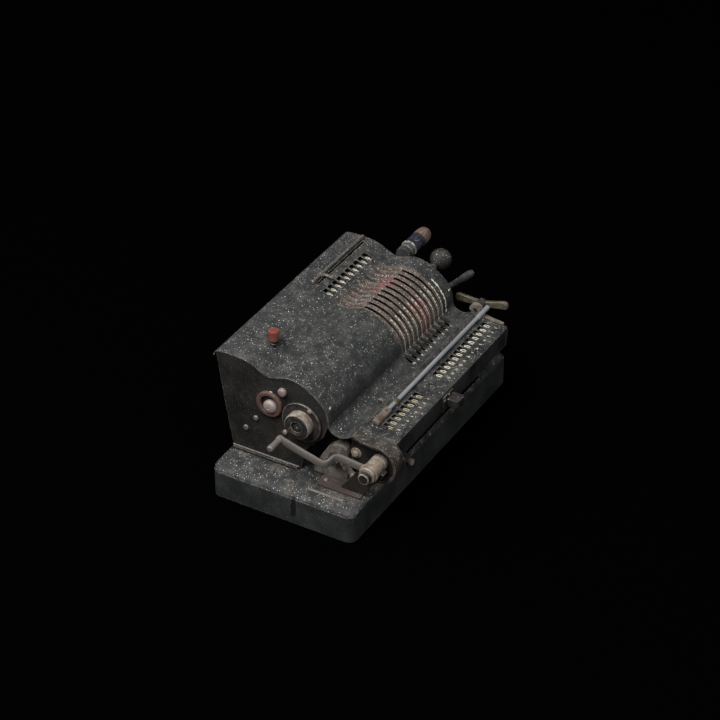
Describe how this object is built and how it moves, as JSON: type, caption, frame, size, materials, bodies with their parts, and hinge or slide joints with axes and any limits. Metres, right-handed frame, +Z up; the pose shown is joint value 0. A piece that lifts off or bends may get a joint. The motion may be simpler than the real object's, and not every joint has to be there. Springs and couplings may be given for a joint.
{
  "type": "arithmometer",
  "caption": "Hand-cranked pinwheel calculating machine with a ribbed setting drum, a sliding front carriage with number windows, a crank and a clearing crank.",
  "frame": {"origin": "centre of the base's flat underside", "axes": "+X towards the crank's side, +Y towards the back, +Z up"},
  "size_m": [0.3314, 0.1965, 0.151],
  "materials": {
    "black_paint": "satin crinkle paint, worn and dusty",
    "worn_steel": "worn bare steel",
    "rusty_steel": "rusty matt",
    "tarnished_brass": "tarnished",
    "white_dial": "yellowed white with numerals",
    "red_knob": "dull gloss",
    "dark_grip": "dark lacquer, worn brown at the end"
  },
  "bodies": {
    "frame": {"base": "black_paint", "left_side_frame": "black_paint", "right_side_frame": "black_paint", "top_cover": "black_paint", "rear_panel": "black_paint", "carriage_rail": "worn_steel", "left_rail_bracket": "worn_steel", "right_rail_bracket": "worn_steel", "left_drum_bearing": "worn_steel", "right_bearing_plate": "worn_steel", "reversing_ring": "rusty_steel", "ring_bolt": "rusty_steel", "clearing_pedestal": "black_paint", "pedestal_plate": "rusty_steel", "lip_thumbscrew": "rusty_steel", "check_shaft": "worn_steel", "rear_decimal_rod": "worn_steel"},
    "drum": {"drum_shaft": "worn_steel", "pinwheel_drum": "worn_steel"},
    "crank": {"crank_shaft": "worn_steel", "crank_arm": "black_paint"},
    "crank_grip": {"crank_handle": "dark_grip"},
    "clear_lever": {"setting_clear_lever": "black_paint"},
    "release": {"release_lever": "black_paint"},
    "knob": {"reversing_knob": "red_knob"},
    "pointer": {"rear_pointer": "worn_steel"},
    "carriage": {"carriage_housing": "black_paint", "carriage_left_cheek": "black_paint", "carriage_right_end": "black_paint", "wing_nut_bracket": "rusty_steel", "carriage_saddle": "worn_steel", "register_shaft": "worn_steel", "decimal_bar": "worn_steel"},
    "result_wheels": {"result_number_wheels": "white_dial"},
    "counter_wheels": {"counter_number_wheels": "white_dial"},
    "marker": {"decimal_marker": "tarnished_brass"},
    "nut": {"wing_nut": "tarnished_brass"},
    "shift_key": {"carriage_shift_key": "black_paint"},
    "clearing": {"clearing_drum": "worn_steel", "clearing_crank": "worn_steel"},
    "lever_01": {"setting_lever_01": "worn_steel"},
    "lever_02": {"setting_lever_02": "worn_steel"},
    "lever_03": {"setting_lever_03": "worn_steel"},
    "lever_04": {"setting_lever_04": "worn_steel"},
    "lever_05": {"setting_lever_05": "worn_steel"},
    "lever_06": {"setting_lever_06": "worn_steel"},
    "lever_07": {"setting_lever_07": "worn_steel"},
    "lever_08": {"setting_lever_08": "worn_steel"},
    "lever_09": {"setting_lever_09": "worn_steel"},
    "lever_10": {"setting_lever_10": "worn_steel"},
    "check_01": {"check_wheel_01": "white_dial"},
    "check_02": {"check_wheel_02": "white_dial"},
    "check_03": {"check_wheel_03": "white_dial"},
    "check_04": {"check_wheel_04": "white_dial"},
    "check_05": {"check_wheel_05": "white_dial"},
    "check_06": {"check_wheel_06": "white_dial"},
    "check_07": {"check_wheel_07": "white_dial"},
    "check_08": {"check_wheel_08": "white_dial"},
    "check_09": {"check_wheel_09": "white_dial"},
    "check_10": {"check_wheel_10": "white_dial"}
  },
  "joints": [
    {"name": "crank_spin", "type": "hinge", "parent": "frame", "child": "crank", "pos_m": [0, 0.03, 0.088], "axis": [1, 0, 0], "continuous": true},
    {"name": "drum_spin", "type": "hinge", "parent": "frame", "child": "drum", "pos_m": [0, -0.003, 0.09], "axis": [1, 0, 0], "continuous": true},
    {"name": "grip_spin", "type": "hinge", "parent": "crank", "child": "crank_grip", "pos_m": [0.1271, 0.02691, 0.12808], "axis": [1, 0, 0], "continuous": true},
    {"name": "clear_lever_turn", "type": "hinge", "parent": "crank", "child": "clear_lever", "pos_m": [0.1281, 0.03, 0.088], "axis": [-1, 0, 0], "range_deg": [0, 12], "stiffness_Nm_per_rad": 0.3, "springref_deg": -11.46},
    {"name": "release_turn", "type": "hinge", "parent": "frame", "child": "release", "pos_m": [0.1175, -0.022, 0.10598], "axis": [1, 0, 0], "range_deg": [0, 15], "stiffness_Nm_per_rad": 0.05, "springref_deg": -11.46},
    {"name": "knob_turn", "type": "hinge", "parent": "frame", "child": "knob", "pos_m": [-0.079, 0.0486, 0.13596], "axis": [0, 0, 1], "range_deg": [-45, 45]},
    {"name": "pointer_slide", "type": "slide", "parent": "frame", "child": "pointer", "axis": [1, 0, 0], "range_m": [-0.0075, 0.0705]},
    {"name": "carriage_slide", "type": "slide", "parent": "frame", "child": "carriage", "axis": [1, 0, 0], "range_m": [0, 0.055]},
    {"name": "result_wheels_spin", "type": "hinge", "parent": "carriage", "child": "result_wheels", "pos_m": [0.0136, -0.073, 0.072], "axis": [1, 0, 0], "continuous": true},
    {"name": "counter_wheels_spin", "type": "hinge", "parent": "carriage", "child": "counter_wheels", "pos_m": [-0.0801, -0.073, 0.072], "axis": [1, 0, 0], "continuous": true},
    {"name": "marker_slide", "type": "slide", "parent": "carriage", "child": "marker", "axis": [1, 0, 0], "range_m": [-0.0095, 0.155]},
    {"name": "nut_spin", "type": "hinge", "parent": "carriage", "child": "nut", "pos_m": [0.123, -0.0548, 0.0928], "axis": [1, 0, 0], "continuous": true},
    {"name": "shift_key_press", "type": "slide", "parent": "carriage", "child": "shift_key", "axis": [0, 0, -1], "range_m": [0, 0.003], "stiffness_N_per_m": 300, "springref_m": -0.002},
    {"name": "clearing_turn", "type": "hinge", "parent": "frame", "child": "clearing", "pos_m": [-0.1238, -0.08001, 0.069], "axis": [1, 0, 0], "range_deg": [0, 190]},
    {"name": "lever_01_set", "type": "hinge", "parent": "drum", "child": "lever_01", "pos_m": [0.0205, -0.003, 0.09], "axis": [-1, 0, 0], "range_deg": [0, 62]},
    {"name": "check_01_turn", "type": "hinge", "parent": "frame", "child": "check_01", "pos_m": [0.0205, 0.04999, 0.1225], "axis": [1, 0, 0], "range_deg": [0, 324]},
    {"name": "lever_02_set", "type": "hinge", "parent": "drum", "child": "lever_02", "pos_m": [0.0285, -0.003, 0.09], "axis": [-1, 0, 0], "range_deg": [0, 62]},
    {"name": "check_02_turn", "type": "hinge", "parent": "frame", "child": "check_02", "pos_m": [0.0285, 0.04999, 0.1225], "axis": [1, 0, 0], "range_deg": [0, 324]},
    {"name": "lever_03_set", "type": "hinge", "parent": "drum", "child": "lever_03", "pos_m": [0.0365, -0.003, 0.09], "axis": [-1, 0, 0], "range_deg": [0, 62]},
    {"name": "check_03_turn", "type": "hinge", "parent": "frame", "child": "check_03", "pos_m": [0.0365, 0.04999, 0.1225], "axis": [1, 0, 0], "range_deg": [0, 324]},
    {"name": "lever_04_set", "type": "hinge", "parent": "drum", "child": "lever_04", "pos_m": [0.0445, -0.003, 0.09], "axis": [-1, 0, 0], "range_deg": [0, 62]},
    {"name": "check_04_turn", "type": "hinge", "parent": "frame", "child": "check_04", "pos_m": [0.0445, 0.04999, 0.1225], "axis": [1, 0, 0], "range_deg": [0, 324]},
    {"name": "lever_05_set", "type": "hinge", "parent": "drum", "child": "lever_05", "pos_m": [0.0525, -0.003, 0.09], "axis": [-1, 0, 0], "range_deg": [0, 62]},
    {"name": "check_05_turn", "type": "hinge", "parent": "frame", "child": "check_05", "pos_m": [0.0525, 0.04999, 0.1225], "axis": [1, 0, 0], "range_deg": [0, 324]},
    {"name": "lever_06_set", "type": "hinge", "parent": "drum", "child": "lever_06", "pos_m": [0.0605, -0.003, 0.09], "axis": [-1, 0, 0], "range_deg": [0, 62]},
    {"name": "check_06_turn", "type": "hinge", "parent": "frame", "child": "check_06", "pos_m": [0.0605, 0.04999, 0.1225], "axis": [1, 0, 0], "range_deg": [0, 324]},
    {"name": "lever_07_set", "type": "hinge", "parent": "drum", "child": "lever_07", "pos_m": [0.0685, -0.003, 0.09], "axis": [-1, 0, 0], "range_deg": [0, 62]},
    {"name": "check_07_turn", "type": "hinge", "parent": "frame", "child": "check_07", "pos_m": [0.0685, 0.04999, 0.1225], "axis": [1, 0, 0], "range_deg": [0, 324]},
    {"name": "lever_08_set", "type": "hinge", "parent": "drum", "child": "lever_08", "pos_m": [0.0765, -0.003, 0.09], "axis": [-1, 0, 0], "range_deg": [0, 62]},
    {"name": "check_08_turn", "type": "hinge", "parent": "frame", "child": "check_08", "pos_m": [0.0765, 0.04999, 0.1225], "axis": [1, 0, 0], "range_deg": [0, 324]},
    {"name": "lever_09_set", "type": "hinge", "parent": "drum", "child": "lever_09", "pos_m": [0.0845, -0.003, 0.09], "axis": [-1, 0, 0], "range_deg": [0, 62]},
    {"name": "check_09_turn", "type": "hinge", "parent": "frame", "child": "check_09", "pos_m": [0.0845, 0.04999, 0.1225], "axis": [1, 0, 0], "range_deg": [0, 324]},
    {"name": "lever_10_set", "type": "hinge", "parent": "drum", "child": "lever_10", "pos_m": [0.0925, -0.003, 0.09], "axis": [-1, 0, 0], "range_deg": [0, 62]},
    {"name": "check_10_turn", "type": "hinge", "parent": "frame", "child": "check_10", "pos_m": [0.0925, 0.04999, 0.1225], "axis": [1, 0, 0], "range_deg": [0, 324]}
  ],
  "couplings": [
    {"joint": "drum_spin", "follows": "crank_spin", "ratio": -1},
    {"joint": "check_01_turn", "follows": "lever_01_set", "ratio": 5.2},
    {"joint": "check_02_turn", "follows": "lever_02_set", "ratio": 5.2},
    {"joint": "check_03_turn", "follows": "lever_03_set", "ratio": 5.2},
    {"joint": "check_04_turn", "follows": "lever_04_set", "ratio": 5.2},
    {"joint": "check_05_turn", "follows": "lever_05_set", "ratio": 5.2},
    {"joint": "check_06_turn", "follows": "lever_06_set", "ratio": 5.2},
    {"joint": "check_07_turn", "follows": "lever_07_set", "ratio": 5.2},
    {"joint": "check_08_turn", "follows": "lever_08_set", "ratio": 5.2},
    {"joint": "check_09_turn", "follows": "lever_09_set", "ratio": 5.2},
    {"joint": "check_10_turn", "follows": "lever_10_set", "ratio": 5.2}
  ]
}
